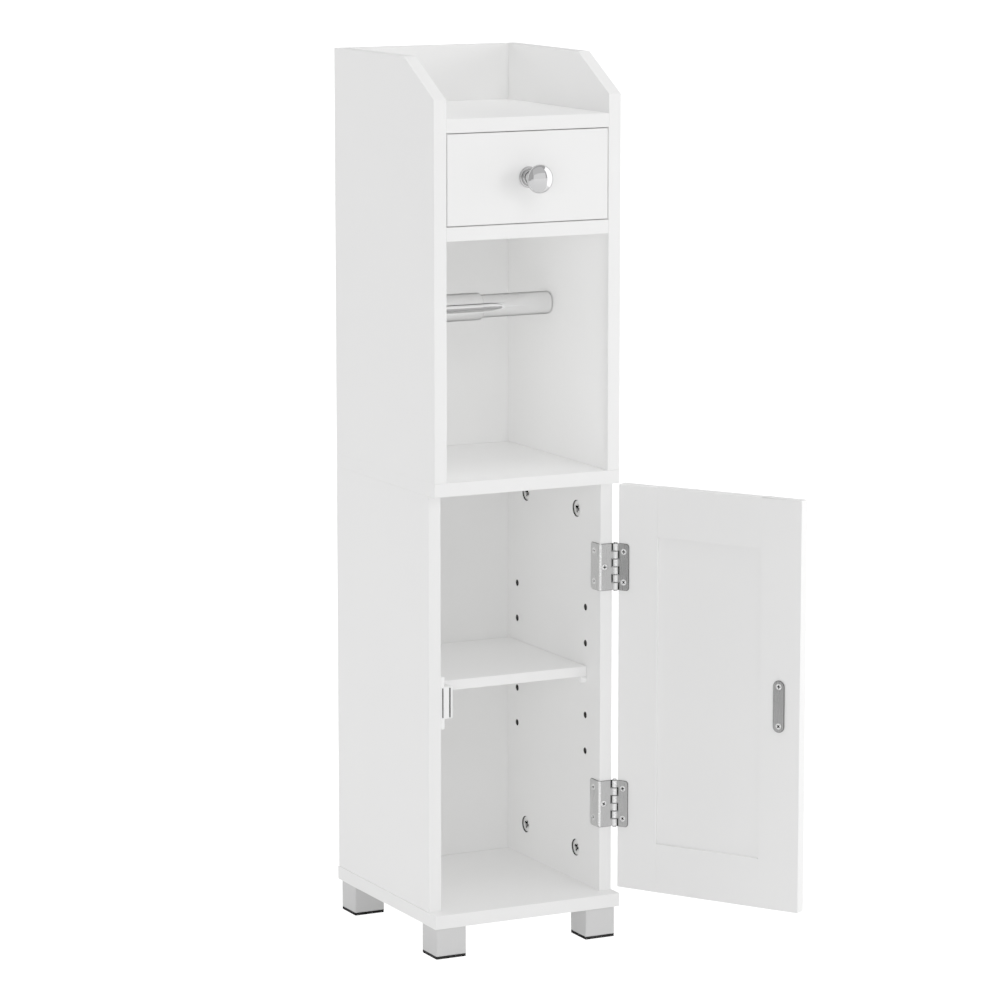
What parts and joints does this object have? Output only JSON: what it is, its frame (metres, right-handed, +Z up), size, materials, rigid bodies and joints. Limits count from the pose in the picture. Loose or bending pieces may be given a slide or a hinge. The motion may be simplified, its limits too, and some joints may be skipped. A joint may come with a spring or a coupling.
{
  "type": "toilet roll storage cabinet",
  "caption": "Slim free-standing bathroom cabinet: tray top, drawer, open bay with a sprung roll bar, and a cupboard with hinged door and adjustable shelf, on square feet.",
  "frame": {"origin": "centre of the cabinet's footprint, on the floor under its feet", "axes": "+Z up, front faces -Y, +X to the right of someone who stands in front"},
  "size_m": [0.2904, 0.3427, 0.7815],
  "materials": {
    "white_board": "white-faced board, satin",
    "silver_plastic": "silver-coloured plastic",
    "black_pad": "black",
    "white_plastic": "white moulded plastic",
    "chrome": "polished",
    "satin_chrome": "satin",
    "steel": "satin zinc plate",
    "zinc": "die-cast zinc",
    "dark_steel": "blackened",
    "raw_wood": "bare beech"
  },
  "bodies": {
    "cabinet": {"bottom_board": "white_board", "mid_board": "white_board", "divider_board": "white_board", "top_shelf": "white_board", "lower_left_side": "white_board", "lower_right_side": "white_board", "upper_left_side": "white_board", "upper_right_side": "white_board", "lower_back_panel": "white_board", "upper_back_panel": "white_board", "cam_locks": "zinc", "cam_bolts": "steel", "shelf_dowels": "raw_wood", "back_dowels": "raw_wood", "carcass_screws": "steel", "feet": "silver_plastic", "foot_pads": "black_pad", "foot_screws": "steel", "shelf_pins": "white_plastic", "catch_housing": "white_plastic", "catch_pole_plates": "dark_steel", "catch_magnet": "dark_steel", "catch_screws": "steel", "upper_hinge_cabinet_leaf": "steel", "upper_hinge_pin": "steel", "lower_hinge_cabinet_leaf": "steel", "lower_hinge_pin": "steel", "hinge_cabinet_screws": "steel"},
    "drawer": {"drawer_front": "white_board", "drawer_left_side": "white_board", "drawer_right_side": "white_board", "drawer_back": "white_board", "drawer_bottom": "white_board", "drawer_dowels": "raw_wood", "drawer_knob": "chrome", "drawer_knob_screw": "steel"},
    "door": {"door_hinge_stile": "white_board", "door_free_stile": "white_board", "door_top_rail": "white_board", "door_bottom_rail": "white_board", "door_panel": "white_board", "strike_plate": "steel", "strike_screws": "steel", "upper_hinge_door_leaf": "steel", "lower_hinge_door_leaf": "steel", "hinge_door_screws": "steel"},
    "shelf": {"adjustable_shelf": "white_board"},
    "bar_sleeve": {"roll_bar_sleeve": "satin_chrome", "roll_bar_spring": "dark_steel"},
    "bar_tube": {"roll_bar_tube": "satin_chrome"}
  },
  "joints": [
    {"name": "door_hinge", "type": "hinge", "parent": "cabinet", "child": "door", "pos_m": [0.0925, -0.0885, 0.224], "axis": [0, 0, 1], "range_deg": [-122, 58]},
    {"name": "drawer_slide", "type": "slide", "parent": "cabinet", "child": "drawer", "axis": [0, -1, 0], "range_m": [0, 0.14]},
    {"name": "shelf_lift", "type": "slide", "parent": "cabinet", "child": "shelf", "axis": [0, 0, 1], "range_m": [0, 0.05]},
    {"name": "bar_turn", "type": "hinge", "parent": "cabinet", "child": "bar_sleeve", "pos_m": [0, 0.0115, 0.556], "axis": [1, 0, 0], "continuous": true},
    {"name": "bar_press", "type": "slide", "parent": "bar_sleeve", "child": "bar_tube", "axis": [-1, 0, 0], "range_m": [0, 0.008], "stiffness_N_per_m": 300, "springref_m": -0.02, "deforming": ["roll_bar_spring"]}
  ]
}
